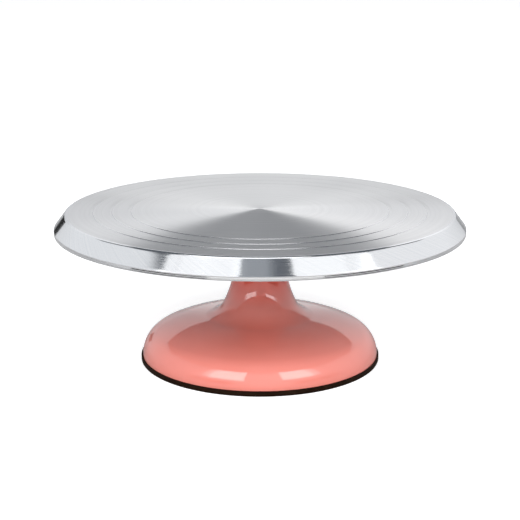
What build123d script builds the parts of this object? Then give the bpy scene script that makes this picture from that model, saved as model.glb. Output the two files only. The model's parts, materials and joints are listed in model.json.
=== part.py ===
from build123d import *
from math import cos, radians, sin
import os

# Cake turntable: an aluminium plate that turns on two ball bearings in an enamelled steel pedestal.
# The frame is +Z up, with the origin on the spin axis at the table surface. Millimetres.
# Each separate piece is written to parts/NODE.step; identical fasteners and balls share one node.

# --- driving dimensions ---------------------------------------------------------------------------
HEIGHT = 115.0              # table to the plate's top face

# plate
PLATE_R = 152.5             # over the lip, a 12 inch plate
TOP_R = 144.1               # flat top face, before the bevel
BEVEL_DROP = 10.9           # height of the bevelled edge
LIP_H = 3.0                 # upright lip below the bevel
PLATE_T = 3.6
RIM_WALL = 2.8
EDGE_BREAK = 0.6            # bright turned edge between the top face and the bevel
RING_RADII = (96.0, 110.0, 124.0)   # marking rings for centring a cake
RING_W = 1.3
RING_DEPTH = 0.45
BOSS_R = 36.0
BOSS_DROP = 4.4
BOSS_FILLET = 1.2
RIB_COUNT = 12
RIB_T = 2.4
RIB_DROP_IN = 3.6           # rib depth at the boss
RIB_DROP_OUT = 2.2          # rib depth at the rim
REGISTER_R = 9.0            # centring spigot between spindle and plate
REGISTER_H = 2.0
REGISTER_GAP = 0.3

# pedestal shell: (radius, turn) of the tangent arcs from the neck down to the foot.
# A positive turn flares outwards, a negative one closes the shoulder.
NECK_R = 19.2
NECK_TOP_Z = 99.5
SHELL_ARCS = ((80.0, 26.4), (18.8, 55.6), (131.2, -16.2), (20.6, -65.8))
SHELL_T = 1.2
FOOT_CURL_R = 1.5           # outer radius where the wall turns in under the foot
FOOT_FLANGE_IN_R = 80.0     # inner edge of the turned-in flange

# foot
RING_OUT_R = 90.7
RING_H = 3.9
RING_GRIP = 0.05            # running gap between the rubber wall and the shell
SOLE_IN_R = 76.0
SOLE_T = 1.3
SOLE_GROOVES = (87.0, 84.0, 81.0, 78.5)
SOLE_GROOVE_W = 1.0
SOLE_GROOVE_DEPTH = 0.5
SHEET_T = 1.2               # bottom plate
SHEET_R = 86.0
SHEET_SEAT_Z = 6.0          # underside of the raised middle of the bottom plate
SHEET_STEP_R = (70.0, 77.0) # where the raised middle slopes down to the edge
BEAD_R = (44.0, 46.0, 52.0, 54.0)
BEAD_H = 1.6

# bearings: 15 x 32 x 9 deep-groove, shielded both sides
BEARING_IN_R = 7.5
BEARING_OUT_R = 16.0
BEARING_W = 9.0
PITCH_R = 11.75
BALL_R = 2.381
BALL_COUNT = 9
GROOVE_R = 2.5
GROOVE_PLAY = 0.014         # ball to race
INNER_LAND_R = 9.9
OUTER_LAND_R = 13.6
SHIELD_T = 0.35
SHIELD_INSET = 0.4
SHIELD_GAP = 0.25           # shield to inner race
SHIELD_STEP = 0.6           # how far the shield is let into the outer race
SHIELD_STEP_H = 0.9
CAGE_T = 1.6
CAGE_H = 5.8
POCKET_PLAY = 0.06
UPPER_BEARING_Z = 88.0      # lower face of each bearing
LOWER_BEARING_Z = 24.0

# housing
HOUSING_R = NECK_R - SHELL_T
HOUSING_FOOT_R = 21.0       # the lower barrel is thicker, below the neck
HOUSING_FOOT_TOP_Z = 44.0
HOUSING_TAPER_TOP_Z = 70.0
HOUSING_BORE_R = 14.0
HOUSING_FILLET = 2.0
COLLAR_T = 2.0
FLANGE_R = 32.0
FLANGE_T = 5.0
CHAMFER = 0.5
CIRCLIP_IN_R = 14.4
CIRCLIP_T = 1.2
CIRCLIP_GROOVE = 0.8
CIRCLIP_HALF_GAP = 17.0     # degrees
CIRCLIP_EAR_R = 1.6
CIRCLIP_EYE_R = 0.7
CIRCLIP_EAR_PCR = 14.1
SEAL_T = 2.9
SEAL_PLAY = 0.2
SEAL_WALL = 1.2

# spindle
SHOULDER_R = 11.0
SPINDLE_FLANGE_R = 32.0
SPINDLE_FLANGE_T = 4.0
SPINDLE_FLANGE_BREAK = 0.8
THREAD_R = 6.0
SPINDLE_END_Z = 10.5
SPACER_R = 9.4

# washer and lock nut on the spindle's thread, M12
WASHER_R = 9.8
WASHER_BORE_R = 6.2
WASHER_T = 1.5
NUT_FLATS = 18.0
NUT_CORNER_R = 9.95         # chamfered corners
NUT_H = 7.8
NUT_COLLAR_R = 8.8
NUT_COLLAR_H = 2.2
INSERT_R = 8.0
INSERT_SET = 0.2            # the insert lies this far inside its collar

# M5 fasteners
SCREW_R = 2.5
SCREW_HOLE_R = 2.75
SCREW_COUNT = 4
PLATE_SCREW_PCR = 26.0      # pitch circle radius of the screws into the plate
PLATE_SCREW_REACH = 5.0     # thread in the plate's boss
FOOT_SCREW_PCR = 24.0       # pitch circle radius of the screws into the housing's flange
TAP_RUNOUT = 0.6            # threaded holes are this much longer than their screws
CSK_R = 4.8                 # countersunk head
SOCKET_R = 1.75             # hexagon socket, over its corners
SOCKET_DEPTH = 2.0
PAN_R = 4.6                 # pan head
PAN_H = 2.9
PAN_ROUND = 1.6
CROSS_L = 5.0               # cross recess
CROSS_W = 1.0
CROSS_DEPTH = 1.7
FOOT_WASHER_R = 5.2
FOOT_WASHER_T = 1.0

# levels worked out from the above
LIP_TOP_Z = HEIGHT - BEVEL_DROP
LIP_LOW_Z = LIP_TOP_Z - LIP_H
UNDERSIDE_Z = HEIGHT - PLATE_T
BOSS_LOW_Z = UNDERSIDE_Z - BOSS_DROP
FLANGE_LOW_Z = BOSS_LOW_Z - SPINDLE_FLANGE_T
SEAT_TOP_Z = SHEET_SEAT_Z + SHEET_T
FLANGE_TOP_Z = SEAT_TOP_Z + FLANGE_T
UPPER_SHOULDER_Z = UPPER_BEARING_Z + BEARING_W
COLLAR_TOP_Z = NECK_TOP_Z + COLLAR_T
SHELL_UNDER_Z = SOLE_T + SHEET_T    # the shell's flange lies on the bottom plate's edge
NUT_TOP_Z = LOWER_BEARING_Z - WASHER_T
NUT_LOW_Z = NUT_TOP_Z - NUT_H
NUT_COLLAR_LOW_Z = NUT_LOW_Z - NUT_COLLAR_H
CSK_DEPTH = CSK_R - SCREW_R         # 90 degree countersink


# --- helpers --------------------------------------------------------------------------------------
def lathe(*points):
    """A solid of revolution about Z from its half section, given as (radius, z) points."""
    face = make_face(Plane.XZ * Polyline(*points, close=True))
    return revolve(face, Axis.Z)


def tube(r_in, r_out, z_low, z_high):
    """A plain ring or tube about Z."""
    return lathe((r_in, z_low), (r_out, z_low), (r_out, z_high), (r_in, z_high))


def rod(r, z_low, z_high, x=0.0, y=0.0):
    """An upright cylinder."""
    return Pos(x, y, z_low) * Cylinder(r, z_high - z_low, align=(Align.CENTER, Align.CENTER, Align.MIN))


def sink(x, y):
    """The cone of a 90 degree countersunk head, wide end down on the spindle flange's underside."""
    cone = Cone(CSK_R, SCREW_R, CSK_DEPTH, align=(Align.CENTER, Align.CENTER, Align.MIN))
    return Pos(x, y, FLANGE_LOW_Z) * cone


def around(radius, count, make):
    """count copies of make(x, y), evenly spaced on a circle about Z."""
    angles = [radians(360.0 * i / count) for i in range(count)]
    return [make(radius * cos(a), radius * sin(a)) for a in angles]


def drill(body, pitch_r, r, z_low, z_high):
    """The body with SCREW_COUNT plain upright holes cut on a circle about Z."""
    for hole in around(pitch_r, SCREW_COUNT, lambda x, y: rod(r, z_low, z_high, x, y)):
        body -= hole
    return body


def torus(pitch_r, tube_r, z):
    """A ring of round section about Z."""
    return Pos(0, 0, z) * Torus(pitch_r, tube_r)


def write(node, shape):
    """Writes one node's STEP file."""
    solids = shape if isinstance(shape, list) else shape.solids()
    export_step(solids[0] if len(solids) == 1 else Compound(children=solids), f"parts/{node}.step")


# --- plate ----------------------------------------------------------------------------------------
def ring_groove(radius):
    """The V groove of one marking ring, as section points from the inside out."""
    half = RING_W / 2
    return [(radius - half, HEIGHT), (radius, HEIGHT - RING_DEPTH), (radius + half, HEIGHT)]


def plate():
    """The turned aluminium plate: flat top with marking rings, bevel, lip, and a ribbed underside."""
    slope = (PLATE_R - TOP_R) / BEVEL_DROP
    rim_in_r = PLATE_R - RIM_WALL
    wall_low_z = LIP_TOP_Z - 0.6
    wall_top_r = rim_in_r - slope * (UNDERSIDE_Z - wall_low_z)
    rib_end_r = wall_top_r + 1.5        # the ribs run a little way into the rim wall
    section = [
        (0, HEIGHT),
        *[p for r in RING_RADII for p in ring_groove(r)],
        (TOP_R - EDGE_BREAK, HEIGHT),
        (TOP_R + 0.35 * EDGE_BREAK, HEIGHT - 0.6 * EDGE_BREAK),
        (PLATE_R - 0.2, LIP_TOP_Z + 0.25),
        (PLATE_R, LIP_TOP_Z - 0.1),
        (PLATE_R, LIP_LOW_Z + 0.4),
        (PLATE_R - 0.4, LIP_LOW_Z),
        (rim_in_r + 0.3, LIP_LOW_Z),
        (rim_in_r, LIP_LOW_Z + 0.3),
        (rim_in_r, wall_low_z),
        (wall_top_r, UNDERSIDE_Z - 1.0),
        (wall_top_r - 1.4, UNDERSIDE_Z),
        (BOSS_R + BOSS_FILLET, UNDERSIDE_Z),
        (BOSS_R, UNDERSIDE_Z - BOSS_FILLET),
        (BOSS_R, BOSS_LOW_Z + CHAMFER),
        (BOSS_R - CHAMFER, BOSS_LOW_Z),
        (REGISTER_R, BOSS_LOW_Z),
        (REGISTER_R, BOSS_LOW_Z + REGISTER_H),
        (0, BOSS_LOW_Z + REGISTER_H),
    ]
    body = lathe(*section)
    rib_section = make_face(Plane.XZ * Polyline(
        (BOSS_R - 1, UNDERSIDE_Z + 0.5),
        (BOSS_R - 1, UNDERSIDE_Z - RIB_DROP_IN),
        (rib_end_r, UNDERSIDE_Z - RIB_DROP_OUT),
        (rib_end_r, UNDERSIDE_Z + 0.5),
        close=True,
    ))
    rib = extrude(rib_section, RIB_T / 2, both=True)
    for i in range(RIB_COUNT):
        body += Rot(0, 0, (i + 0.5) * 360 / RIB_COUNT) * rib
    return drill(body, PLATE_SCREW_PCR, SCREW_R, BOSS_LOW_Z, BOSS_LOW_Z + PLATE_SCREW_REACH + TAP_RUNOUT)


# --- spindle and what turns with it ---------------------------------------------------------------
def spindle():
    """Steel spindle: a flange screwed to the plate, a shoulder on the upper bearing, a threaded end."""
    spigot_top_z = BOSS_LOW_Z + REGISTER_H - REGISTER_GAP
    body = lathe(
        (0, SPINDLE_END_Z),
        (THREAD_R - 1, SPINDLE_END_Z),
        (THREAD_R, SPINDLE_END_Z + 1),
        (THREAD_R, LOWER_BEARING_Z),
        (BEARING_IN_R, LOWER_BEARING_Z),
        (BEARING_IN_R, UPPER_SHOULDER_Z),
        (SHOULDER_R, UPPER_SHOULDER_Z),
        (SHOULDER_R, FLANGE_LOW_Z),
        (SPINDLE_FLANGE_R - SPINDLE_FLANGE_BREAK, FLANGE_LOW_Z),
        (SPINDLE_FLANGE_R, FLANGE_LOW_Z + SPINDLE_FLANGE_BREAK),
        (SPINDLE_FLANGE_R, BOSS_LOW_Z),
        (REGISTER_R, BOSS_LOW_Z),
        (REGISTER_R, spigot_top_z),
        (0, spigot_top_z),
    )
    for hole in around(PLATE_SCREW_PCR, SCREW_COUNT, countersunk_hole):
        body -= hole
    return body


def countersunk_hole(x, y):
    """A clearance hole through the spindle's flange, countersunk from below."""
    return sink(x, y) + rod(SCREW_HOLE_R, FLANGE_LOW_Z, BOSS_LOW_Z, x, y)


def spindle_screw(x, y):
    """Countersunk socket screw, flush with the underside of the spindle's flange."""
    shank = rod(SCREW_R, FLANGE_LOW_Z, BOSS_LOW_Z + PLATE_SCREW_REACH, x, y)
    socket = extrude(Plane((x, y, FLANGE_LOW_Z)) * RegularPolygon(SOCKET_R, 6), SOCKET_DEPTH)
    return (sink(x, y) + shank - socket).solid()


def bearing_spacer():
    """Sleeve that holds the two inner races apart."""
    return tube(BEARING_IN_R, SPACER_R, LOWER_BEARING_Z + BEARING_W, UPPER_BEARING_Z)


def spindle_washer():
    """Thick washer between the lock nut and the lower inner race."""
    return tube(WASHER_BORE_R, WASHER_R, NUT_TOP_Z, LOWER_BEARING_Z)


def lock_nut():
    """Hexagon lock nut with a collar round its nylon insert."""
    hexagon = Plane((0, 0, NUT_LOW_Z)) * RegularPolygon(NUT_FLATS / 2, 6, major_radius=False)
    body = extrude(hexagon, NUT_H) & rod(NUT_CORNER_R, NUT_LOW_Z, NUT_TOP_Z)
    body += rod(NUT_COLLAR_R, NUT_COLLAR_LOW_Z, NUT_LOW_Z)
    body -= rod(THREAD_R, NUT_COLLAR_LOW_Z, NUT_TOP_Z)
    body -= rod(INSERT_R, NUT_COLLAR_LOW_Z, NUT_LOW_Z)
    return body


def lock_nut_insert():
    """The nut's nylon locking ring."""
    return tube(THREAD_R, INSERT_R, NUT_COLLAR_LOW_Z + INSERT_SET, NUT_LOW_Z)


# --- bearings -------------------------------------------------------------------------------------
def inner_race(z):
    """Inner ring of the bearing whose lower face is at z."""
    groove = torus(PITCH_R + GROOVE_R - BALL_R - GROOVE_PLAY, GROOVE_R, z + BEARING_W / 2)
    return tube(BEARING_IN_R, INNER_LAND_R, z, z + BEARING_W) - groove


def outer_race(z):
    """Outer ring, with a step at each side that holds a shield."""
    step_r = OUTER_LAND_R + SHIELD_STEP
    low_step_z = z + SHIELD_STEP_H
    high_step_z = z + BEARING_W - SHIELD_STEP_H
    body = lathe(
        (step_r, z),
        (BEARING_OUT_R, z),
        (BEARING_OUT_R, z + BEARING_W),
        (step_r, z + BEARING_W),
        (step_r, high_step_z),
        (OUTER_LAND_R, high_step_z),
        (OUTER_LAND_R, low_step_z),
        (step_r, low_step_z),
    )
    return body - torus(PITCH_R - GROOVE_R + BALL_R + GROOVE_PLAY, GROOVE_R, z + BEARING_W / 2)


def shields(z):
    """The two thin steel shields, pressed into the outer ring."""
    r_in = INNER_LAND_R + SHIELD_GAP
    r_out = OUTER_LAND_R + SHIELD_STEP
    lows = (z + SHIELD_INSET, z + BEARING_W - SHIELD_INSET - SHIELD_T)
    return [tube(r_in, r_out, low, low + SHIELD_T).solid() for low in lows]


def balls(z):
    """The bearing's balls."""
    mid = z + BEARING_W / 2
    return around(PITCH_R, BALL_COUNT, lambda x, y: (Pos(x, y, mid) * Sphere(BALL_R)).solid())


def cage(z):
    """One-piece cage with a round pocket for each ball."""
    mid = z + BEARING_W / 2
    body = tube(PITCH_R - CAGE_T / 2, PITCH_R + CAGE_T / 2, mid - CAGE_H / 2, mid + CAGE_H / 2)
    pocket = Pos(PITCH_R, 0, mid) * Rot(0, 90, 0) * Cylinder(BALL_R + POCKET_PLAY, 2 * CAGE_T)
    for i in range(BALL_COUNT):
        body -= Rot(0, 0, i * 360 / BALL_COUNT) * pocket
    return body


# --- pedestal -------------------------------------------------------------------------------------
def flare_size():
    """(growth in radius, drop) of the shell's arcs, from the neck down to the foot's curl."""
    growth = drop = heading = 0.0       # heading in degrees from straight down
    for radius, turn in SHELL_ARCS:
        before = radians(heading)
        after = radians(heading + turn)
        growth += radius * abs(cos(after) - cos(before))
        drop += radius * abs(sin(after) - sin(before))
        heading += turn
    return growth, drop


def shell_edge(inset):
    """The pedestal's outline from the neck's top down to the foot, moved inwards by inset.

    Tangent arcs keep their angles when offset, so only their radii change."""
    flare_top_z = SHELL_UNDER_Z + FOOT_CURL_R + flare_size()[1]
    edges = [Line((NECK_R - inset, NECK_TOP_Z), (NECK_R - inset, flare_top_z))]
    for radius, turn in (*SHELL_ARCS, (FOOT_CURL_R, -90.0)):
        r = radius + inset if turn > 0 else radius - inset
        edges.append(JernArc(edges[-1] @ 1, edges[-1] % 1, r, turn))
    end = edges[-1] @ 1
    edges.append(Line(end, (FOOT_FLANGE_IN_R, end.Y)))
    return edges


def base_shell():
    """Pressed-steel pedestal with a flared neck, round shoulder and turned-in foot flange."""
    outer = shell_edge(0.0)
    inner = shell_edge(SHELL_T)
    top = Line(outer[0] @ 0, inner[0] @ 0)
    flange_end = Line(outer[-1] @ 1, inner[-1] @ 1)
    section = Curve() + [*outer, *inner, top, flange_end]
    return revolve(make_face(Plane.XZ * section), Axis.Z)


def bearing_housing():
    """Turned housing: a collar over the neck, two bearing seats, and a flange on the bottom plate."""
    groove_r = BEARING_OUT_R + CIRCLIP_GROOVE
    groove_top_z = UPPER_SHOULDER_Z + CIRCLIP_T
    body = lathe(
        (BEARING_OUT_R, SEAT_TOP_Z),
        (FLANGE_R, SEAT_TOP_Z),
        (FLANGE_R, FLANGE_TOP_Z - 1),
        (FLANGE_R - 1, FLANGE_TOP_Z),
        (HOUSING_FOOT_R, FLANGE_TOP_Z),
        (HOUSING_FOOT_R, HOUSING_FOOT_TOP_Z),
        (HOUSING_R, HOUSING_TAPER_TOP_Z),
        (HOUSING_R, NECK_TOP_Z),
        (NECK_R, NECK_TOP_Z),
        (NECK_R, COLLAR_TOP_Z - CHAMFER),
        (NECK_R - CHAMFER, COLLAR_TOP_Z),
        (BEARING_OUT_R, COLLAR_TOP_Z),
        (BEARING_OUT_R, groove_top_z),
        (groove_r, groove_top_z),
        (groove_r, UPPER_SHOULDER_Z),
        (BEARING_OUT_R, UPPER_SHOULDER_Z),
        (BEARING_OUT_R, UPPER_BEARING_Z),
        (HOUSING_BORE_R, UPPER_BEARING_Z),
        (HOUSING_BORE_R, LOWER_BEARING_Z + BEARING_W),
        (BEARING_OUT_R, LOWER_BEARING_Z + BEARING_W),
    )
    return drill(body, FOOT_SCREW_PCR, SCREW_R, SEAT_TOP_Z, FLANGE_TOP_Z)


def bearing_circlip():
    """Internal retaining ring above the upper bearing, open over a small gap, with an eye at each end."""
    low = UPPER_SHOULDER_Z
    high = low + CIRCLIP_T
    ring = tube(CIRCLIP_IN_R, BEARING_OUT_R + CIRCLIP_GROOVE - 0.1, low, high)
    gap_w = 2 * BEARING_OUT_R * sin(radians(CIRCLIP_HALF_GAP))
    ring -= Pos(BEARING_OUT_R, 0, low) * Box(8, gap_w, 4)
    ear_deg = CIRCLIP_HALF_GAP + 6
    for a in (radians(-ear_deg), radians(ear_deg)):
        x = CIRCLIP_EAR_PCR * cos(a)
        y = CIRCLIP_EAR_PCR * sin(a)
        ring += rod(CIRCLIP_EAR_R, low, high, x, y)
        ring -= rod(CIRCLIP_EYE_R, low, high, x, y)
    return ring


def dust_seal():
    """Rubber ring with one wiping lip that keeps crumbs out of the upper bearing."""
    top = COLLAR_TOP_Z
    low = top - SEAL_T
    lip_r = SHOULDER_R + SEAL_PLAY
    return lathe(
        (lip_r + SEAL_WALL, low),
        (BEARING_OUT_R, low),
        (BEARING_OUT_R, top),
        (lip_r + SEAL_WALL + 0.4, top),
        (lip_r, top - 0.5),
        (lip_r, top - 1.1),
    )


def bottom_plate():
    """Pressed-steel disc that closes the foot, with a raised middle and one stiffening bead."""
    under = [
        (0, SHEET_SEAT_Z),
        (BEAD_R[0], SHEET_SEAT_Z),
        (BEAD_R[1], SHEET_SEAT_Z + BEAD_H),
        (BEAD_R[2], SHEET_SEAT_Z + BEAD_H),
        (BEAD_R[3], SHEET_SEAT_Z),
        (SHEET_STEP_R[0], SHEET_SEAT_Z),
        (SHEET_STEP_R[1], SOLE_T),
        (SHEET_R, SOLE_T),
    ]
    over = [(r, z + SHEET_T) for r, z in reversed(under)]
    return drill(lathe(*under, *over), FOOT_SCREW_PCR, SCREW_HOLE_R, SHEET_SEAT_Z, SEAT_TOP_Z)


def foot_washer(x, y):
    """Washer under a foot screw's head."""
    low = SHEET_SEAT_Z - FOOT_WASHER_T
    return (rod(FOOT_WASHER_R, low, SHEET_SEAT_Z, x, y) - rod(SCREW_HOLE_R, low, SHEET_SEAT_Z, x, y)).solid()


def foot_screw(x, y):
    """Pan-head cross-recessed screw that pulls the bottom plate up to the housing."""
    seat = SHEET_SEAT_Z - FOOT_WASHER_T
    head = rod(PAN_R, seat - PAN_H, seat, x, y)
    head = fillet(head.edges().sort_by(Axis.Z)[0], PAN_ROUND)
    cut_h = 2 * CROSS_DEPTH             # half of the cutter is below the head
    cross = Pos(x, y, seat - PAN_H) * (Box(CROSS_L, CROSS_W, cut_h) + Box(CROSS_W, CROSS_L, cut_h))
    return (head - cross + rod(SCREW_R, seat, FLANGE_TOP_Z - TAP_RUNOUT, x, y)).solid()


def sole_groove(radius):
    """One grip groove in the rubber sole, as section points from the inside out."""
    half = SOLE_GROOVE_W / 2
    bottom = half - 0.2
    return [
        (radius - half, 0),
        (radius - bottom, SOLE_GROOVE_DEPTH),
        (radius + bottom, SOLE_GROOVE_DEPTH),
        (radius + half, 0),
    ]


def base_ring():
    """Rubber ring round the foot: an outer wall that grips the shell and a grooved sole."""
    wall_in_r = NECK_R + flare_size()[0] + RING_GRIP
    sheet_r = SHEET_R + 0.2
    return lathe(
        *[p for r in reversed(SOLE_GROOVES) for p in sole_groove(r)],
        (RING_OUT_R - 0.4, 0),
        (RING_OUT_R, 0.4),
        (RING_OUT_R, RING_H - 0.6),
        (RING_OUT_R - 0.5, RING_H),
        (wall_in_r, RING_H),
        (wall_in_r, SHELL_UNDER_Z),
        (sheet_r, SHELL_UNDER_Z),
        (sheet_r, SOLE_T),
        (SOLE_IN_R, SOLE_T),
        (SOLE_IN_R, 0),
    )


# --- write every node -----------------------------------------------------------------------------
PARTS = {
    "plate": plate(),
    "spindle": spindle(),
    "spindle_screws": around(PLATE_SCREW_PCR, SCREW_COUNT, spindle_screw),
    "bearing_spacer": bearing_spacer(),
    "spindle_washer": spindle_washer(),
    "lock_nut": lock_nut(),
    "lock_nut_insert": lock_nut_insert(),
    "base_shell": base_shell(),
    "bearing_housing": bearing_housing(),
    "bearing_circlip": bearing_circlip(),
    "dust_seal": dust_seal(),
    "bottom_plate": bottom_plate(),
    "bottom_screw_washers": around(FOOT_SCREW_PCR, SCREW_COUNT, foot_washer),
    "bottom_screws": around(FOOT_SCREW_PCR, SCREW_COUNT, foot_screw),
    "base_ring": base_ring(),
}
for level, z in (("upper", UPPER_BEARING_Z), ("lower", LOWER_BEARING_Z)):
    PARTS[f"{level}_inner_race"] = inner_race(z)
    PARTS[f"{level}_outer_race"] = outer_race(z)
    PARTS[f"{level}_bearing_shields"] = shields(z)
    PARTS[f"{level}_balls"] = balls(z)
    PARTS[f"{level}_cage"] = cage(z)
os.makedirs("parts", exist_ok=True)
for node, shape in PARTS.items():
    write(node, shape)
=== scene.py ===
import json
import math

import bmesh
import bpy
from mathutils import Matrix, Vector


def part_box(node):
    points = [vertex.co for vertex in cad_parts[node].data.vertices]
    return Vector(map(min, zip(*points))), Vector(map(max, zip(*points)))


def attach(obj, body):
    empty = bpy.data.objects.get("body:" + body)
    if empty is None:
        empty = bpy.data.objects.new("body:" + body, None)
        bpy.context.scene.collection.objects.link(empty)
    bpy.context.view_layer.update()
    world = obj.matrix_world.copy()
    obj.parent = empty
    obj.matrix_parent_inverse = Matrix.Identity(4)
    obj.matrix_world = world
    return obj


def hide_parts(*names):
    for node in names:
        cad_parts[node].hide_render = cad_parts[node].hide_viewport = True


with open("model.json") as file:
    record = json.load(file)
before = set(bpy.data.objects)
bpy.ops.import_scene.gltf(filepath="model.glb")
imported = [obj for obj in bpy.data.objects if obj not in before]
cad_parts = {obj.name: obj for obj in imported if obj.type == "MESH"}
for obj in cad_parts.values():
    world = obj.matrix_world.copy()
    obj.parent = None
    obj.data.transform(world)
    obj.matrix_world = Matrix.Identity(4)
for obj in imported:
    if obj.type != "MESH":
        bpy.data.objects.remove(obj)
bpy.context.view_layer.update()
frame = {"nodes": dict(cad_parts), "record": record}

# The cake turntable's looks: dense turned meshes for the plate, the pedestal, the foot's rubber ring
# and the bottom plate, procedural materials for every piece, and a plain studio. Metres, Z up.
MM = 0.001
TURN_STEPS = 360                    # faces round a turned piece
SHARP_ANGLE = math.radians(21)      # edges that bend more than this stay crisp
TINY = 1e-7                         # metres; points nearer than this are one point

# --- sizes, worked out from the frame -------------------------------------------------------------
PLATE_LOW, PLATE_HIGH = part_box("plate")
SHELL_LOW, SHELL_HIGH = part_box("base_shell")
RING_LOW, RING_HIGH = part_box("base_ring")
SHEET_LOW, SHEET_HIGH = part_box("bottom_plate")


def radii_at(node, z):
    """The distinct radii of a CAD node's vertices at one height, in 0.1 mm steps, smallest first."""
    found = set()
    for vertex in frame["nodes"][node].data.vertices:
        if abs(vertex.co.z - z) < 0.01 * MM:
            found.add(round(math.hypot(vertex.co.x, vertex.co.y), 4))
    return sorted(found)


TOP_Z = PLATE_HIGH.z
PLATE_R = PLATE_HIGH.x
LIP_LOW_Z = PLATE_LOW.z
RING_DEPTH = 0.45 * MM
RING_HALF_W = 0.65 * MM
RING_WALL_W = 0.45 * MM     # across the ring's steep inner wall
RING_RISE_W = 1.8 * MM      # and across its long shallow rise
RING_SLOPE = math.radians(36.5)
RING_RADII = [r for r in radii_at("plate", TOP_Z - RING_DEPTH) if r > MM]
TOP_R = radii_at("plate", TOP_Z)[-1] + 0.6 * MM     # where the bevel's plane meets the top face
LIP_TOP_Z = LIP_LOW_Z + 3.0 * MM
RIM_IN_R = PLATE_R - 2.8 * MM
UNDERSIDE_Z = TOP_Z - 3.6 * MM
BOSS_R = 36.0 * MM
BOSS_LOW_Z = UNDERSIDE_Z - 4.4 * MM
BOSS_RECESS_R = 9.0 * MM
BOSS_RECESS_DEPTH = 2.0 * MM
FACE, BEVEL, LIP, UNDERSIDE, RING_CUT, RING_RISE = range(6)     # the plate's material numbers

# the pedestal's tangent arcs from the neck down to the foot: (radius, turn in degrees)
SHELL_ARCS = (
    (80.0 * MM, 26.4),
    (18.8 * MM, 55.6),
    (131.2 * MM, -16.2),
    (20.6 * MM, -65.8),
    (1.5 * MM, -90.0),
)
NECK_R = radii_at("base_shell", SHELL_HIGH.z)[-1]
SHELL_T = 1.2 * MM
FOOT_FLANGE_IN_R = 80.0 * MM


# --- meshes ---------------------------------------------------------------------------------------
def corner(before, at, after, radius, steps=6):
    """Points of a round corner of this radius between two straight stretches of an outline."""
    a = (Vector(before) - Vector(at)).normalized()
    b = (Vector(after) - Vector(at)).normalized()
    half = a.angle(b) / 2
    shorter = min((Vector(before) - Vector(at)).length, (Vector(after) - Vector(at)).length)
    reach = min(radius / math.tan(half), 0.45 * shorter)
    radius = reach * math.tan(half)
    centre = Vector(at) + (a + b).normalized() * (radius / math.sin(half))
    start = Vector(at) + a * reach - centre
    end = Vector(at) + b * reach - centre
    sweep = start.angle(end)
    if sweep < 1e-6:
        return [tuple(at)]
    points = []
    for i in range(steps + 1):
        t = i / steps
        mix = (start * math.sin((1 - t) * sweep) + end * math.sin(t * sweep)) / math.sin(sweep)
        points.append(tuple(centre + mix))
    return points


def rounded(points, radius, closed=False):
    """An outline with every inner corner rounded. A point may carry its own radius as a third number."""
    out = []
    count = len(points)
    for i, point in enumerate(points):
        at = point[:2]
        own = point[2] if len(point) > 2 else radius
        if (not closed and i in (0, count - 1)) or own <= 0:
            out.append(tuple(at))
        else:
            out.extend(corner(points[i - 1][:2], at, points[(i + 1) % count][:2], own))
    return out


def divided(points, longest):
    """The same outline with its long stretches cut into shorter ones."""
    out = [points[0]]
    for a, b in zip(points, points[1:]):
        parts = max(1, math.ceil((Vector(b) - Vector(a)).length / longest))
        for i in range(1, parts + 1):
            out.append(tuple(Vector(a).lerp(Vector(b), i / parts)))
    return out


def turned(name, runs, closed=False, steps=TURN_STEPS):
    """A surface of revolution about Z. runs is a list of (material number, outline points); each run starts
    where the one before it ended, and a closed outline ends where it began."""
    outline, numbers = [runs[0][1][0]], []
    for number, points in runs:
        for point in points[1:]:
            if (Vector(point) - Vector(outline[-1])).length > TINY:
                outline.append(point)
                numbers.append(number)
    if closed:
        outline.pop()
    mesh = bmesh.new()
    loops = []
    for r, z in outline:
        if r < TINY:
            loops.append([mesh.verts.new((0, 0, z))])
            continue
        loops.append([
            mesh.verts.new((r * math.cos(2 * math.pi * i / steps), r * math.sin(2 * math.pi * i / steps), z))
            for i in range(steps)
        ])
    for k, number in enumerate(numbers):
        low, high = loops[k], loops[(k + 1) % len(loops)]
        for i in range(steps):
            j = (i + 1) % steps
            ends = [low[i % len(low)], low[j % len(low)], high[j % len(high)], high[i % len(high)]]
            kept = [v for n, v in enumerate(ends) if v not in ends[:n]]
            face = mesh.faces.new(kept)
            face.material_index = number
            face.smooth = True
    bmesh.ops.recalc_face_normals(mesh, faces=mesh.faces)
    return finished(name, mesh)


def finished(name, mesh):
    """Turns a bmesh into a linked object with smooth faces and sharp edges at its real corners."""
    data = bpy.data.meshes.new(name)
    mesh.to_mesh(data)
    mesh.free()
    data.set_sharp_from_angle(angle=SHARP_ANGLE)
    obj = bpy.data.objects.new(name, data)
    bpy.context.scene.collection.objects.link(obj)
    return obj


def dress(obj, body, slot, *materials, replaces=()):
    """Gives a piece its materials and its body, and hides the CAD nodes it stands for. The slot is not used.
    """
    for material in materials:
        obj.data.materials.append(material)
    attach(obj, body)
    if replaces:
        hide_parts(*replaces)
    return obj


# --- node helpers ---------------------------------------------------------------------------------
def add(tree, kind, inputs=None, **settings):
    """A new node with its settings and inputs; an input that is another node's output is linked."""
    node = tree.nodes.new(kind)
    for key, value in settings.items():
        setattr(node, key, value)
    for key, value in (inputs or {}).items():
        if isinstance(value, bpy.types.NodeSocket):
            tree.links.new(value, node.inputs[key])
        else:
            node.inputs[key].default_value = value
    return node


def calc(tree, operation, *values):
    """The output of a Math node."""
    return add(tree, "ShaderNodeMath", dict(enumerate(values)), operation=operation).outputs[0]


def place(tree):
    """The point's place on the object, in metres."""
    return add(tree, "ShaderNodeTexCoord").outputs["Object"]


def split(tree, vector):
    """A vector's three numbers."""
    return add(tree, "ShaderNodeSeparateXYZ", {0: vector}).outputs


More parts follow.
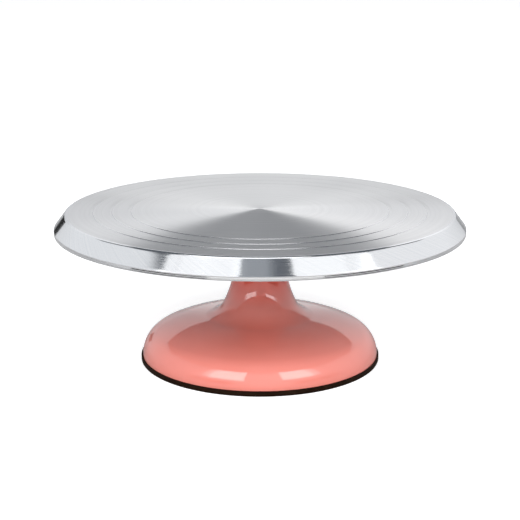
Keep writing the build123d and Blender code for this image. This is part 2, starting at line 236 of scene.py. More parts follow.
def radius_of(tree):
    """The point's distance from the Z axis, in metres."""
    flat = add(tree, "ShaderNodeVectorMath", {0: place(tree), 1: (1, 1, 0)}, operation="MULTIPLY")
    return add(tree, "ShaderNodeVectorMath", {0: flat.outputs[0]}, operation="LENGTH").outputs["Value"]


def angle_of(tree):
    """The point's angle round the Z axis, in radians."""
    x, y, _ = split(tree, place(tree))
    return calc(tree, "ARCTAN2", y, x)


def lines(tree, along, spacing, detail=1.0):
    """Uneven fine lines, 0 to 1, a spacing apart on average."""
    return add(
        tree, "ShaderNodeTexNoise", {"W": along, "Scale": 0.5 / spacing, "Detail": detail},
        noise_dimensions="1D",
    ).outputs["Fac"]


def cloud(tree, size, detail=2.0, roughness=0.5):
    """Soft three-dimensional noise, 0 to 1, with spots of about this size."""
    return add(
        tree, "ShaderNodeTexNoise",
        {"Vector": place(tree), "Scale": 0.5 / size, "Detail": detail, "Roughness": roughness},
    ).outputs["Fac"]


def spread(tree, value, low, high, to_low, to_high):
    """Maps low..high to to_low..to_high, without going past the ends."""
    return add(
        tree, "ShaderNodeMapRange",
        {"Value": value, "From Min": low, "From Max": high, "To Min": to_low, "To Max": to_high},
    ).outputs["Result"]


def profile(tree, value, stops):
    """A number that follows straight stretches between (value, result) stops, all between 0 and 1."""
    ramp = add(tree, "ShaderNodeValToRGB", {0: value})
    elements = ramp.color_ramp.elements
    while len(elements) < len(stops):
        elements.new(0.5)
    for element, (at, result) in zip(elements, stops):
        element.position = at
    for element, (at, result) in zip(elements, stops):
        element.color = (result, result, result, 1)
    return ramp.outputs[0]


def blend_colours(tree, factor, first, second):
    """A mix of two colours."""
    node = add(tree, "ShaderNodeMix", {0: factor}, data_type="RGBA")
    for socket, colour in ((node.inputs[6], first), (node.inputs[7], second)):
        if isinstance(colour, bpy.types.NodeSocket):
            tree.links.new(colour, socket)
        else:
            socket.default_value = (*colour, 1)
    return node.outputs[2]


def bump(tree, height, distance, under=None):
    """A normal from a height map whose 0 to 1 stands for this distance in metres."""
    inputs = {"Height": height, "Distance": distance, "Strength": 1.0}
    if under is not None:
        inputs["Normal"] = under
    return add(tree, "ShaderNodeBump", inputs).outputs["Normal"]


def principled(name, **inputs):
    """A material with one Principled shader. Returns the material, its tree and the shader."""
    material = bpy.data.materials.new(name)
    material.use_nodes = True
    tree = material.node_tree
    tree.nodes.clear()
    shader = add(tree, "ShaderNodeBsdfPrincipled", {k.replace("_", " "): v for k, v in inputs.items()})
    output = add(tree, "ShaderNodeOutputMaterial")
    tree.links.new(shader.outputs[0], output.inputs["Surface"])
    return material, tree, shader


def drive(tree, shader, **sources):
    """Links sources to the shader's inputs."""
    for key, source in sources.items():
        tree.links.new(source, shader.inputs[key.replace("_", " ")])


def round_tangent(tree):
    """The direction round the Z axis, which a lathe's fine lines follow."""
    return add(tree, "ShaderNodeTangent", direction_type="RADIAL", axis="Z").outputs[0]


def leaned(tree, outward=None, around=None):
    """The surface's normal, leaned outwards from the Z axis and round it by these slopes."""
    normal = add(tree, "ShaderNodeNewGeometry").outputs["Normal"]
    tangent = round_tangent(tree)
    out = add(tree, "ShaderNodeVectorMath", {0: tangent, 1: normal}, operation="CROSS_PRODUCT").outputs[0]
    for direction, slope in ((out, outward), (tangent, around)):
        if slope is None:
            continue
        step = add(tree, "ShaderNodeVectorMath", {0: direction, "Scale": slope}, operation="SCALE").outputs[0]
        normal = add(tree, "ShaderNodeVectorMath", {0: normal, 1: step}, operation="ADD").outputs[0]
    return add(tree, "ShaderNodeVectorMath", {0: normal}, operation="NORMALIZE").outputs[0]


# --- materials ------------------------------------------------------------------------------------
TURNING_TILT = math.radians(12.0)    # the lathe's feed marks lean outwards
RISE_SLOPE = math.radians(8.5)       # and a little more on the rings' long inward-facing rise
QUARTER_TURN = 0.25                  # anisotropy: light spreads across lines that run round the axis


def turned_face(name="turned_face", tilt=TURNING_TILT):
    """The top face: bright aluminium with fine concentric feed marks, across which light spreads."""
    material, tree, shader = principled(
        name, Metallic=1.0, Anisotropic=0.82, Anisotropic_Rotation=QUARTER_TURN,
    )
    r = radius_of(tree)
    fine = lines(tree, r, 0.35 * MM, 2.0)
    middle = lines(tree, r, 1.6 * MM, 1.0)
    broad = lines(tree, r, 16 * MM)
    tone = calc(tree, "ADD", calc(tree, "MULTIPLY", fine, 0.5), calc(tree, "MULTIPLY", middle, 0.5))
    colour = blend_colours(tree, spread(tree, tone, 0.3, 0.7, 0, 1), (0.78, 0.78, 0.785), (0.85, 0.85, 0.855))
    handling = cloud(tree, 35 * MM, 3.0)
    rough = spread(tree, broad, 0.3, 0.7, 0.295, 0.31)
    rough = calc(tree, "ADD", rough, spread(tree, handling, 0.45, 0.7, 0, 0.02))
    rough = calc(tree, "ADD", rough, spread(tree, r, 0, 16 * MM, 0.10, 0))
    feed = calc(tree, "MULTIPLY", calc(tree, "SUBTRACT", middle, 0.5), 0.06)
    marks = leaned(tree, outward=calc(tree, "ADD", feed, math.tan(tilt)))
    marks = bump(tree, fine, 0.006 * MM, marks)
    drive(tree, shader, Base_Color=colour, Roughness=rough, Normal=marks, Tangent=round_tangent(tree))
    return material


def ring_cut():
    """The marking rings: cut with a finer tool and left bright, with painted shade at the bottom of each
    groove.
    """
    material, tree, shader = principled("ring_cut", Metallic=1.0)
    _, _, z = split(tree, place(tree))
    deep = spread(tree, calc(tree, "SUBTRACT", TOP_Z, z), 0.25 * MM, 0.40 * MM, 0, 1)
    speckle = cloud(tree, 1.2 * MM, 3.0)
    # painted shade: a darker, mottled grey at the bottom of each groove
    groove_shade = blend_colours(tree, speckle, (0.45, 0.45, 0.455), (0.60, 0.60, 0.605))
    colour = blend_colours(tree, deep, (0.80, 0.805, 0.815), groove_shade)
    rough = spread(tree, deep, 0, 1, 0.18, 0.28)
    drive(tree, shader, Base_Color=colour, Roughness=rough, Normal=bump(tree, speckle, 0.002 * MM))
    return material


def bright_bevel():
    """The bevel: cut to a near mirror, in fine turned lines that each lean a little differently."""
    material, tree, shader = principled(
        "bright_bevel", Metallic=1.0, Anisotropic=0.6, Anisotropic_Rotation=QUARTER_TURN,
    )
    _, _, z = split(tree, place(tree))
    turn = angle_of(tree)
    streaks = lines(tree, z, 0.14 * MM, 1.0)
    slant = calc(tree, "ADD", calc(tree, "MULTIPLY", turn, PLATE_R * 0.5), z)
    slant_lines = lines(tree, slant, 0.7 * MM, 1.0)
    tone = calc(tree, "ADD", calc(tree, "MULTIPLY", streaks, 0.5), calc(tree, "MULTIPLY", slant_lines, 0.5))
    tone = spread(tree, tone, 0.36, 0.64, 0, 1)
    colour = blend_colours(tree, tone, (0.85, 0.866, 0.888), (0.905, 0.912, 0.925))
    rough = spread(tree, streaks, 0.35, 0.65, 0.07, 0.13)
    around = calc(tree, "MULTIPLY", calc(tree, "SUBTRACT", streaks, 0.5), 0.03)
    marks = bump(tree, slant_lines, 0.0009 * MM, leaned(tree, around=around))
    drive(tree, shader, Base_Color=colour, Roughness=rough, Normal=marks, Tangent=round_tangent(tree))
    return material


def satin_lip():
    """The upright lip: bright, with turned lines round it."""
    material, tree, shader = principled(
        "satin_lip", Metallic=1.0, Anisotropic=0.4, Anisotropic_Rotation=QUARTER_TURN,
    )
    _, _, z = split(tree, place(tree))
    fine = lines(tree, z, 0.3 * MM, 2.0)
    patches = cloud(tree, 8 * MM)
    colour = blend_colours(tree, spread(tree, fine, 0.35, 0.65, 0, 1), (0.80, 0.80, 0.81), (0.88, 0.88, 0.89))
    rough = spread(tree, patches, 0.3, 0.7, 0.09, 0.13)
    marks = bump(tree, fine, 0.001 * MM)
    drive(tree, shader, Base_Color=colour, Roughness=rough, Normal=marks, Tangent=round_tangent(tree))
    return material


def rough_underside():
    """The plate's underside: coarsely turned and tumbled, duller than the top."""
    material, tree, shader = principled("rough_underside", Metallic=1.0)
    r = radius_of(tree)
    coarse = lines(tree, r, 0.9 * MM, 2.0)
    grain = cloud(tree, 0.8 * MM, 3.0)
    patches = cloud(tree, 22 * MM, 3.0)
    tone = calc(tree, "ADD", calc(tree, "MULTIPLY", coarse, 0.5), calc(tree, "MULTIPLY", patches, 0.5))
    colour = blend_colours(tree, spread(tree, tone, 0.35, 0.65, 0, 1), (0.62, 0.62, 0.63), (0.76, 0.76, 0.77))
    rough = spread(tree, patches, 0.3, 0.7, 0.40, 0.52)
    marks = bump(tree, grain, 0.03 * MM)
    marks = bump(tree, coarse, 0.03 * MM, marks)
    drive(tree, shader, Base_Color=colour, Roughness=rough, Normal=marks)
    return material


def enamel():
    """Coral-pink enamel under a clear rippled gloss, with painted shade: a darker copy of its colour on the
    upper dome, where the plate shades it, and painted reddest at the neck, also in the plate's shade."""
    material, tree, shader = principled(
        "enamel", Roughness=0.3, Coat_Weight=1.0, Coat_Roughness=0.012, Coat_IOR=1.6, Specular_IOR_Level=0.2,
    )
    flow = cloud(tree, 26 * MM, 2.0)
    peel = cloud(tree, 1.6 * MM, 1.0)
    tone = spread(tree, flow, 0.3, 0.7, 0, 1)
    dome = blend_colours(tree, tone, (0.83, 0.240, 0.191), (0.865, 0.262, 0.212))
    # painted shade: a darker copy of the dome's colour, for the upper dome that the plate shades
    painted_shade = blend_colours(tree, tone, (0.71, 0.192, 0.150), (0.745, 0.212, 0.168))
    _, _, z = split(tree, place(tree))
    colour = blend_colours(tree, spread(tree, z, 19 * MM, 28 * MM, 0, 1), dome, painted_shade)
    # painted shade: the neck, deep under the plate, is painted a deeper, redder colour
    colour = blend_colours(tree, spread(tree, z, 46 * MM, 66 * MM, 0, 1), colour, (0.96, 0.150, 0.100))
    rough = spread(tree, flow, 0.3, 0.7, 0.30, 0.38)
    ripple = bump(tree, peel, 0.004 * MM)
    drive(tree, shader, Base_Color=colour, Roughness=rough, Normal=ripple, Coat_Normal=ripple)
    return material


def rubber(name, dark, light):
    """Moulded rubber: matt, finely pitted, a little dusty in patches."""
    material, tree, shader = principled(name, Specular_IOR_Level=0.05)
    pits = cloud(tree, 0.35 * MM, 3.0, 0.6)
    dust = cloud(tree, 9 * MM, 4.0, 0.6)
    colour = blend_colours(tree, spread(tree, dust, 0.4, 0.75, 0, 1), dark, light)
    rough = spread(tree, dust, 0.3, 0.7, 0.52, 0.72)
    drive(tree, shader, Base_Color=colour, Roughness=rough, Normal=bump(tree, pits, 0.05 * MM))
    return material


def turned_steel():
    """Machined steel: tool marks round the axis, with a thin oily sheen."""
    material, tree, shader = principled(
        "turned_steel", Metallic=1.0, Anisotropic=0.5, Anisotropic_Rotation=QUARTER_TURN,
    )
    _, _, z = split(tree, place(tree))
    marks_r = lines(tree, radius_of(tree), 0.3 * MM, 2.0)
    marks_z = lines(tree, z, 0.3 * MM, 2.0)
    film = cloud(tree, 7 * MM, 3.0)
    tone = calc(tree, "MULTIPLY", marks_r, marks_z)
    colour = blend_colours(tree, spread(tree, tone, 0.15, 0.4, 0, 1), (0.44, 0.44, 0.45), (0.60, 0.60, 0.61))
    rough = spread(tree, film, 0.3, 0.7, 0.26, 0.38)
    normal = bump(tree, tone, 0.015 * MM)
    drive(tree, shader, Base_Color=colour, Roughness=rough, Normal=normal, Tangent=round_tangent(tree))
    return material


def ground_steel():
    """Bearing steel: ground bright, with faint polishing marks."""
    material, tree, shader = principled("ground_steel", Metallic=1.0)
    _, _, z = split(tree, place(tree))
    marks = lines(tree, z, 0.15 * MM, 2.0)
    film = cloud(tree, 4 * MM, 2.0)
    colour = blend_colours(tree, spread(tree, film, 0.3, 0.7, 0, 1), (0.66, 0.66, 0.68), (0.74, 0.74, 0.75))
    rough = spread(tree, marks, 0.3, 0.7, 0.12, 0.2)
    drive(tree, shader, Base_Color=colour, Roughness=rough, Normal=bump(tree, marks, 0.002 * MM))
    return material


def zinc():
    """Bright zinc plate: cool grey with soft blotches and a fine tooth."""
    material, tree, shader = principled("zinc", Metallic=1.0)
    blotches = cloud(tree, 6 * MM, 4.0, 0.6)
    tooth = cloud(tree, 0.4 * MM, 2.0)
    tint = cloud(tree, 18 * MM, 2.0)
    tone = spread(tree, blotches, 0.35, 0.65, 0, 1)
    cool = blend_colours(tree, tone, (0.52, 0.53, 0.56), (0.68, 0.69, 0.71))
    colour = blend_colours(tree, spread(tree, tint, 0.5, 0.75, 0, 0.35), cool, (0.70, 0.67, 0.58))
    rough = spread(tree, blotches, 0.3, 0.7, 0.26, 0.44)
    drive(tree, shader, Base_Color=colour, Roughness=rough, Normal=bump(tree, tooth, 0.012 * MM))
    return material


def black_oxide():
    """Blackened steel: near black, with an oily sheen and slightly worn high spots."""
    material, tree, shader = principled("black_oxide", Metallic=1.0)
    wear = cloud(tree, 1.5 * MM, 4.0, 0.65)
    worn = spread(tree, wear, 0.55, 0.8, 0, 1)
    colour = blend_colours(tree, worn, (0.035, 0.035, 0.04), (0.16, 0.155, 0.15))
    rough = spread(tree, wear, 0.3, 0.7, 0.34, 0.5)
    drive(tree, shader, Base_Color=colour, Roughness=rough, Normal=bump(tree, wear, 0.01 * MM))
    return material


def nylon():
    """Moulded nylon: waxy, ivory, slightly mottled."""
    material, tree, shader = principled("nylon", Subsurface_Weight=0.15, Subsurface_Scale=0.001)
    mottle = cloud(tree, 2.5 * MM, 3.0)
    grain = cloud(tree, 0.3 * MM, 2.0)
    colour = blend_colours(tree, spread(tree, mottle, 0.3, 0.7, 0, 1), (0.66, 0.62, 0.50), (0.78, 0.74, 0.62))
    rough = spread(tree, mottle, 0.3, 0.7, 0.4, 0.52)
    drive(tree, shader, Base_Color=colour, Roughness=rough, Normal=bump(tree, grain, 0.01 * MM))
    return material


# --- pieces ---------------------------------------------------------------------------------------
def marking_ring(radius):
    """One marking ring's groove, as two outlines: a sloping inner wall and a long shallow rise outwards."""
    bottom = (radius, TOP_Z - RING_WALL_W * math.tan(RING_SLOPE))
    brim = (radius + RING_RISE_W, TOP_Z)
    wall = rounded([(radius - RING_HALF_W, TOP_Z), (radius - RING_WALL_W, TOP_Z, 0.10 * MM), bottom], 0)
    rise = rounded([bottom, (*brim, 3.0 * MM), (brim[0] + RING_HALF_W, TOP_Z)], 0)
    return wall, rise


def plate_outline():
    """The plate's runs of outline: the top face with its rings, the bevel, the lip and the underside."""
    bevel_in = (TOP_R, TOP_Z)
    bevel_out = (PLATE_R, LIP_TOP_Z)
    runs, at = [], (0, TOP_Z)
    for radius in RING_RADII:
        wall, rise = marking_ring(radius)
        runs += [(FACE, divided([at, wall[0]], 4 * MM)), (RING_CUT, wall), (RING_RISE, rise)]
        at = rise[-1]
    edge = corner((0, TOP_Z), bevel_in, bevel_out, 2.6 * MM, steps=14)
    lip_edge = corner(bevel_in, bevel_out, (PLATE_R, LIP_LOW_Z), 0.25 * MM, steps=4)
    runs.append((FACE, divided([at, edge[0]], 4 * MM)))
    bevel = [*edge, *divided([edge[-1], lip_edge[0]], 1.5 * MM)[1:]]
    lip = [bevel[-1], *lip_edge, *lip_grooves()]
    slope = (PLATE_R - TOP_R) / (TOP_Z - LIP_TOP_Z)
    wall_low = LIP_TOP_Z - 0.6 * MM
    wall_top_r = RIM_IN_R - slope * (UNDERSIDE_Z - wall_low)
    below = rounded([
        lip[-1],
        (PLATE_R, LIP_LOW_Z, 0.5 * MM),
        (RIM_IN_R, LIP_LOW_Z, 0.5 * MM),
        (RIM_IN_R, wall_low, 1.0 * MM),
        (wall_top_r, UNDERSIDE_Z, 2.0 * MM),
        (BOSS_R, UNDERSIDE_Z, 1.2 * MM),
        (BOSS_R, BOSS_LOW_Z, 0.5 * MM),
        (BOSS_RECESS_R, BOSS_LOW_Z, 0.2 * MM),
        (BOSS_RECESS_R, BOSS_LOW_Z + BOSS_RECESS_DEPTH, 0.2 * MM),
        (0, BOSS_LOW_Z + BOSS_RECESS_DEPTH),
    ], 0)
    return [*runs, (BEVEL, bevel), (LIP, lip), (UNDERSIDE, divided(below, 6 * MM))]


def lip_grooves():
    """Shallow turned grooves down the lip's outer face."""
    high, low = LIP_TOP_Z - 0.25 * MM, LIP_LOW_Z + 0.6 * MM
    count, depth = 2, 0.10 * MM
    pitch = (high - low) / count
    points = []
    for i in range(count):
        top = high - i * pitch
        points += [(PLATE_R, top), (PLATE_R - depth, top - 0.5 * pitch)]
    return [*points, (PLATE_R, low)]


def plate_piece():
    """The aluminium plate."""
    obj = turned("turntable_plate", plate_outline())
    rise = turned_face("ring_rise", TURNING_TILT + RISE_SLOPE)
    skins = (turned_face(), bright_bevel(), satin_lip(), MATERIALS["turned_aluminium"], ring_cut(), rise)
    return dress(obj, "turntable", "turned_aluminium", *skins, replaces=("plate",))


def plate_ribs():
    """The twelve stiffening ribs under the plate, tapered towards the rim, with softened edges."""
    count, half_t, sunk = 12, 1.2 * MM, 0.8 * MM
    r_in, r_out = BOSS_R - 0.8 * MM, RIM_IN_R - 5.0 * MM
    mesh = bmesh.new()
    for i in range(count):
        turn = Matrix.Rotation(2 * math.pi * (i + 0.5) / count, 3, "Z")
        rows = []
        for r, drop in ((r_in, 3.6 * MM), ((r_in + r_out) / 2, 2.9 * MM), (r_out, 2.2 * MM)):
            high, low = UNDERSIDE_Z + sunk, UNDERSIDE_Z - drop
            row = [(r, -half_t, high), (r, -half_t * 0.8, low), (r, half_t * 0.8, low), (r, half_t, high)]
            rows.append([mesh.verts.new(turn @ Vector(p)) for p in row])
        for a, b in zip(rows, rows[1:]):
            for k in range(4):
                mesh.faces.new((a[k], a[(k + 1) % 4], b[(k + 1) % 4], b[k]))
        mesh.faces.new(rows[0])
        mesh.faces.new(rows[-1])
    bmesh.ops.recalc_face_normals(mesh, faces=mesh.faces)
    obj = finished("plate_ribs", mesh)
    soften(obj, 0.45 * MM)
    return dress(obj, "turntable", "turned_aluminium", MATERIALS["turned_aluminium"], replaces=("plate",))


def soften(obj, width):
    """Rounds a piece's edges."""
    for polygon in obj.data.polygons:
        polygon.use_smooth = True
    modifier = obj.modifiers.new("edges", "BEVEL")
    modifier.width = width
    modifier.segments = 3
    modifier.limit_method = "ANGLE"
    modifier.angle_limit = SHARP_ANGLE


def shell_edge(inset):
    """The pedestal's outline from the neck's top down to the flange under the foot, moved inwards."""
    r, z = NECK_R - inset, SHELL_HIGH.z
    drop = sum(radius * abs(math.sin(b) - math.sin(a)) for radius, a, b in arc_headings())
    points = [(r, z)]
    z = SHELL_LOW.z + drop
    points.append((r, z))
    for radius, a, b in arc_headings():
        flare = b > a
        own = radius + inset if flare else radius - inset
        steps = max(6, math.ceil(math.degrees(abs(b - a)) / 1.5), math.ceil(own * abs(b - a) / (2.5 * MM)))
        for i in range(1, steps + 1):
            t = a + (b - a) * i / steps
            side = 1 if flare else -1
            points.append((
                r + side * own * (math.cos(a) - math.cos(t)),
                z - side * own * (math.sin(t) - math.sin(a)),
            ))
        r, z = points[-1]
    points.append((FOOT_FLANGE_IN_R, z))
    return points


def arc_headings():
    """(radius, heading at its start, heading at its end) of each arc; 0 is straight down."""
    heading, out = 0.0, []
    for radius, turn in SHELL_ARCS:
        out.append((radius, math.radians(heading), math.radians(heading + turn)))
        heading += turn
    return out


def pedestal_piece():
    """The enamelled shell, one sheet from the neck to the turned-in foot."""
    outer, inner = shell_edge(0.0), shell_edge(SHELL_T)
    outline = [*divided(outer[:2], 3 * MM), *outer[2:], *reversed(inner), outer[0]]
    obj = turned("pedestal_shell", [(0, outline)], closed=True)
    return dress(obj, "base", "pink_enamel", MATERIALS["pink_enamel"], replaces=("base_shell",))


def foot_ring_piece():
    """The rubber ring: a wall round the foot and a sole with four grip grooves."""
    out_r = RING_HIGH.x
    wall_in_r = SHELL_HIGH.x + 0.05 * MM
    sole_in_r = 76.0 * MM
    grooves = []
    for r in (78.5 * MM, 81.0 * MM, 84.0 * MM, 87.0 * MM):
        grooves += [
            (r - 0.5 * MM, 0, 0.08 * MM),
            (r - 0.3 * MM, 0.5 * MM, 0.1 * MM),
            (r + 0.3 * MM, 0.5 * MM, 0.1 * MM),
            (r + 0.5 * MM, 0, 0.08 * MM),
        ]
    corners = [
        (sole_in_r, 0, 0.3 * MM),
        *grooves,
        (out_r, 0, 0.7 * MM),
        (out_r, RING_HIGH.z, 0.6 * MM),
        (wall_in_r, RING_HIGH.z, 0.15 * MM),
        (wall_in_r, SHELL_LOW.z, 0),
        (SHEET_HIGH.x + 0.2 * MM, SHELL_LOW.z, 0),
        (SHEET_HIGH.x + 0.2 * MM, SHEET_LOW.z, 0),
        (sole_in_r, SHEET_LOW.z, 0.3 * MM),
    ]
    outline = rounded(corners, 0, closed=True)
    obj = turned("foot_ring", [(0, [*outline, outline[0]])], closed=True)
    return dress(obj, "base", "brown_rubber", MATERIALS["brown_rubber"], replaces=("base_ring",))


def bottom_plate_piece():
    """The pressed bottom plate, with its bends rounded as a press leaves them."""
    t = 1.2 * MM
    seat, bead = 6.0 * MM, 1.6 * MM
    bends = [
        (0, seat), (44 * MM, seat), (46 * MM, seat + bead), (52 * MM, seat + bead), (54 * MM, seat),
        (70 * MM, seat), (77 * MM, SHEET_LOW.z), (SHEET_HIGH.x, SHEET_LOW.z),
    ]
    under = divided(rounded(bends, 1.2 * MM), 5 * MM)
    over = divided(rounded([(r, z + t) for r, z in bends], 1.2 * MM), 5 * MM)
    obj = turned("bottom_cover", [(0, [*under, *reversed(over)])])
    return dress(obj, "base", "zinc_steel", MATERIALS["zinc_steel"], replaces=("bottom_plate",))


def dress_cad_nodes():
    """Gives every CAD node that stays shown the material of its slot."""
    for row in frame["record"]["subparts"]:
        node = frame["nodes"][row["node"]]
        node.data.materials.clear()
        node.data.materials.append(MATERIALS[row["material_slot"]])


MATERIALS = {
    "turned_aluminium": rough_underside(),
    "machined_steel": turned_steel(),
    "bearing_steel": ground_steel(),
    "zinc_steel": zinc(),
    "black_oxide_steel": black_oxide(),
    "pink_enamel": enamel(),
    "brown_rubber": rubber("brown_rubber", (0.012, 0.0048, 0.0018), (0.021, 0.011, 0.006)),
    "black_rubber": rubber("black_rubber", (0.012, 0.012, 0.012), (0.035, 0.034, 0.032)),
    "nylon": nylon(),
}
PLATE = plate_piece()
plate_ribs()
pedestal_piece()
foot_ring_piece()
bottom_plate_piece()
dress_cad_nodes()


# --- studio ---------------------------------------------------------------------------------------
def floor(name, z, albedo, glow, seen):
    """A plain pale floor, far larger than the object. The one that is seen only shows; the unseen one, just
    below it, is a little darker and is what the object is lit by and mirrors."""
    mesh = bmesh.new()
    bmesh.ops.create_grid(mesh, x_segments=8, y_segments=8, size=FLOOR_HALF)
    obj = finished(name, mesh)
    obj.location.z = z
    material, tree, shader = principled(name, Roughness=0.9, Specular_IOR_Level=0.1, Emission_Strength=glow)
    tone = cloud(tree, 0.5, 2.0)
    colour = blend_colours(tree, tone, (albedo - 0.01,) * 3, (albedo + 0.01,) * 3)
    drive(tree, shader, Base_Color=colour)
    shader.inputs["Emission Color"].default_value = (1, 1, 1, 1)
    obj.data.materials.append(material)
    obj.visible_camera = seen
    obj.visible_diffuse = not seen
    obj.visible_glossy = not seen
    obj.visible_transmission = not seen
    obj.visible_shadow = not seen
    return obj


def toward(azimuth, elevation, distance):
    """A place seen from the object in this direction. Azimuth 0 is the camera's side, 90 is +X."""
    a, e = math.radians(azimuth), math.radians(elevation)
    flat = distance * math.cos(e)
    return Vector((flat * math.sin(a), -flat * math.cos(a), distance * math.sin(e)))


def upright(azimuths, elevations, distance):
    """An upright rectangle between these azimuths and elevations, as (centre, width, height)."""
    middle = sum(azimuths) / 2
    width = 2 * distance * math.tan(math.radians(azimuths[1] - azimuths[0]) / 2)
    low, high = (distance * math.tan(math.radians(e)) for e in elevations)
    centre = toward(middle, 0, distance)
    centre.z = (low + high) / 2
    return centre, width, high - low


def softbox(name, azimuths, elevations, distance, radiance):
    """An upright rectangular softbox that faces the object's axis, unseen by the camera itself."""
    centre, width, height = upright(azimuths, elevations, distance)
    light = bpy.data.lights.new(name, "AREA")
    light.shape = "RECTANGLE"
    light.size = width
    light.size_y = height
    light.energy = radiance * math.pi * width * height
    obj = bpy.data.objects.new(name, light)
    obj.location = centre
    obj.rotation_euler = Vector((-centre.x, -centre.y, 0)).to_track_quat("-Z", "Y").to_euler()
    obj.visible_camera = False
    bpy.context.scene.collection.objects.link(obj)
    return obj


def shine_on(light, piece, only):
    """Makes a light fall on one piece only, or on everything but that piece."""
    group = bpy.data.collections.new(light.name + "_targets")
    group.objects.link(piece)
    group.collection_objects[0].light_linking.link_state = "INCLUDE" if only else "EXCLUDE"
    light.light_linking.receiver_collection = group


def softbox_pair(name, elevations, azimuths, radiance, plate_azimuths, plate_radiance):
    """One softbox as two lights: one for everything but the plate, and a wider, dimmer one for the plate's
    metal, so that its mirror image isn't burnt out from the camera's side."""
    rest = softbox(name, azimuths, elevations, SOFTBOX_DISTANCE, radiance)
    plate = softbox(name + "_on_plate", plate_azimuths, elevations, SOFTBOX_DISTANCE, plate_radiance)
    shine_on(rest, PLATE, only=False)
    shine_on(plate, PLATE, only=True)


def overhead_light(name, radiance):
    """A softbox above and in front of the plate, a little left of its middle."""
    light = bpy.data.lights.new(name, "AREA")
    light.shape = "RECTANGLE"
    light.size, light.size_y = OVERHEAD_SIZE
    light.energy = radiance * math.pi * light.size * light.size_y
    obj = bpy.data.objects.new(name, light)
    obj.location = OVERHEAD_PLACE
    obj.visible_camera = False
    bpy.context.scene.collection.objects.link(obj)
    return obj


def dark_card(name, azimuths, elevations, distance):
    """A black card that shows only as a dark shape in the metal."""
    centre, width, height = upright(azimuths, elevations, distance)
    across = Vector((-centre.y, centre.x, 0)).normalized() * (width / 2)
    rise = Vector((0, 0, height / 2))
    mesh = bmesh.new()
    corners = (centre - across - rise, centre + across - rise, centre + across + rise, centre - across + rise)
    mesh.faces.new([mesh.verts.new(c) for c in corners])
    obj = finished(name, mesh)
    material, tree, shader = principled(name, Roughness=0.9, Specular_IOR_Level=0.1)
    nap = cloud(tree, 0.05, 2.0)
    drive(tree, shader, Base_Color=blend_colours(tree, nap, (0.02, 0.02, 0.02), (0.035, 0.035, 0.035)))
    obj.data.materials.append(material)
    obj.visible_camera = False
    return obj


def wall_colour(tree, up, behind, side):
    """The white walls: shaded and glowing in parts, brightest straight behind the object."""
    high = blend_colours(tree, spread(tree, side, -0.7, 0.7, 0, 1), WALL_LEFT, WALL_RIGHT)
    low = blend_colours(tree, spread(tree, behind, -0.7, -0.3, 0, 1), LOW_WALL_FRONT, LOW_WALL_BACK)
    walls = blend_colours(tree, spread(tree, up, 0, 0.3, 0, 1), low, high)
    shade = calc(tree, "MULTIPLY", profile(tree, behind, BACK_SHADE), spread(tree, up, 0.2, 0.4, 1, 0))
    shade = calc(tree, "MULTIPLY", shade, spread(tree, side, -0.1, 0.1, 1, 0.35))
    walls = blend_colours(tree, shade, walls, WALL_SHADED)
    glow = calc(tree, "MULTIPLY", spread(tree, behind, 0.75, 0.85, 0, 1), spread(tree, up, 0.3, 0.45, 0, 1))
    glow = calc(tree, "MULTIPLY", glow, spread(tree, side, -0.1, 0.1, 0.15, 0.75))
    walls = blend_colours(tree, glow, walls, WALL_GLOWING)
    return blend_colours(tree, spread(tree, behind, 0.988, 1.0, 0, 1), walls, WALL_BEHIND)


def ceiling_colour(tree, behind, side):
    """The dark ceiling, with a patch in front that is lighter on its left than on its right."""
    front = spread(tree, behind, -0.9, -0.85, 1, 0)
    front = calc(tree, "MULTIPLY", front, spread(tree, side, 0.31, 0.34, 1, 0))
    front = calc(tree, "MULTIPLY", front, spread(tree, side, -0.40, -0.30, 0, 1))
    patch = blend_colours(tree, spread(tree, side, 0.08, 0.24, 0, 1), PATCH_LEFT, PATCH_RIGHT)
    return blend_colours(tree, front, CEILING, patch)


def studio_world():
    """White walls up to a dark ceiling, which comes lower behind the object."""
    world = bpy.data.worlds.new("studio")
    world.use_nodes = True
    tree = world.node_tree
    tree.nodes.clear()
    direction = add(tree, "ShaderNodeTexCoord").outputs["Generated"]
    x, y, up = split(tree, direction)
    level = calc(tree, "SQRT", calc(tree, "ADD", calc(tree, "MULTIPLY", x, x), calc(tree, "MULTIPLY", y, y)))
    level = calc(tree, "MAXIMUM", level, 0.001)
    behind = calc(tree, "DIVIDE", y, level)
    side = calc(tree, "DIVIDE", x, level)
    wall_top = profile(tree, behind, WALL_TOPS)
    ceiling = spread(tree, calc(tree, "SUBTRACT", up, wall_top), -0.015, 0.015, 0, 1)
    walls = wall_colour(tree, up, behind, side)
    dark = ceiling_colour(tree, behind, side)
    colour = blend_colours(tree, ceiling, walls, dark)
    light = add(tree, "ShaderNodeBackground", {"Color": colour, "Strength": 1.0})
    output = add(tree, "ShaderNodeOutputWorld")
    tree.links.new(light.outputs[0], output.inputs["Surface"])
    bpy.context.scene.world = world


def camera():
    """The camera, a little under a metre in front of the object and looking slightly down."""
    data = bpy.data.cameras.new("camera")
    data.sensor_width = 36.0
    data.lens = CAMERA_LENS
    obj = bpy.data.objects.new("camera", data)
    obj.location = CAMERA_PLACE
    obj.rotation_euler = (math.radians(90) - CAMERA_DOWN, 0, 0)
    bpy.context.scene.collection.objects.link(obj)
    bpy.context.scene.camera = obj


# the studio's walls and ceiling
WALL_LEFT, WALL_RIGHT = (0.80, 0.815, 0.835), (0.88, 0.885, 0.90)
LOW_WALL_FRONT, LOW_WALL_BACK = (1.00, 0.995, 0.98), (0.70, 0.71, 0.725)
WALL_SHADED = (0.62, 0.63, 0.65)
WALL_GLOWING = (1.12, 1.12, 1.13)
WALL_BEHIND = (1.12, 1.13, 1.14)
CEILING = (0.112, 0.122, 0.138)
PATCH_LEFT, PATCH_RIGHT = (0.30, 0.32, 0.345), (0.12, 0.13, 0.15)
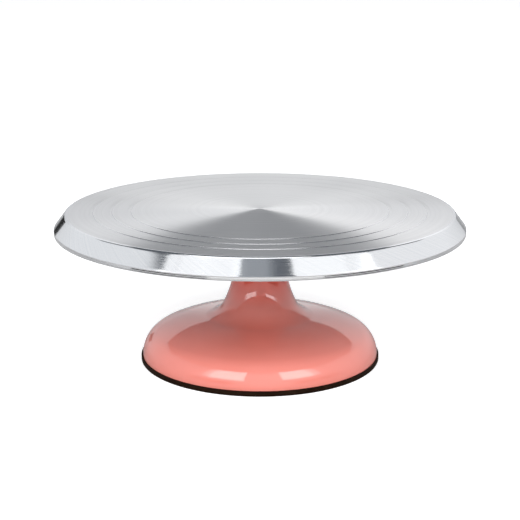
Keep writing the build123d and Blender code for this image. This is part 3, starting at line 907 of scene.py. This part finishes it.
# where the white walls end, as (how far behind the object, sine of the elevation)
WALL_TOPS = ((0.0, 0.728), (0.38, 0.73), (0.48, 0.56), (0.68, 0.56), (0.80, 0.73), (0.90, 0.69), (1.0, 0.48))
# how much the low part of the walls is shaded, by how far behind the object it is
BACK_SHADE = ((0.0, 0.0), (0.82, 0.0), (0.91, 1.0), (0.982, 1.0), (0.994, 0.0))
CAMERA_LENS = 86.4                  # millimetres, on a 36 mm sensor
CAMERA_PLACE = (0.0, -0.9104, 0.3135)
CAMERA_DOWN = math.radians(14.66)
FLOOR_HALF = 12.0
FLOOR_SEEN, FLOOR_GLOW = 0.80, 0.58         # what shows, so that the ground stays white
FLOOR_MIRRORED = 0.53                       # what lights the object
FLOOR_DROP = 0.5 * MM
SOFTBOX_RADIANCE = 4.3
SOFTBOX_EDGE_RADIANCE = 1.8
SOFTBOX_DISTANCE = 1.7
CARD_DISTANCE = 1.65
OVERHEAD_SIZE = (1.30, 0.88)
OVERHEAD_PLACE = (-0.17, -0.38, 1.8)
OVERHEAD_RADIANCE = 0.5
OVERHEAD_ON_PLATE = 1.45
floor("floor", 0.0, FLOOR_SEEN, FLOOR_GLOW, seen=True)
floor("floor_below", -FLOOR_DROP, FLOOR_MIRRORED, 0.0, seen=False)
softbox_pair("softbox_left", (17.3, 65), (-50, -15), SOFTBOX_RADIANCE, (-58, -15), 0.92)
softbox_pair("softbox_left_edge", (17.3, 59), (-57, -50), SOFTBOX_EDGE_RADIANCE, (-66, -58), 0.88)
softbox_pair("softbox_right", (19.3, 65), (21.5, 53), SOFTBOX_RADIANCE, (24, 61), 0.95)
softbox_pair("softbox_right_edge", (19.3, 59), (53, 61), SOFTBOX_EDGE_RADIANCE, (61, 76), 0.84)
shine_on(overhead_light("overhead", OVERHEAD_RADIANCE), PLATE, only=False)
shine_on(overhead_light("overhead_on_plate", OVERHEAD_ON_PLATE), PLATE, only=True)
dark_card("card_left", (-68, -26), (1, 9), CARD_DISTANCE)
dark_card("card_right", (32, 78), (1, 9), CARD_DISTANCE)
dark_card("flag_left", (-154.5, -144.5), (0.6, 8.2), CARD_DISTANCE)
studio_world()
camera()
bpy.context.scene.view_settings.view_transform = "Standard"
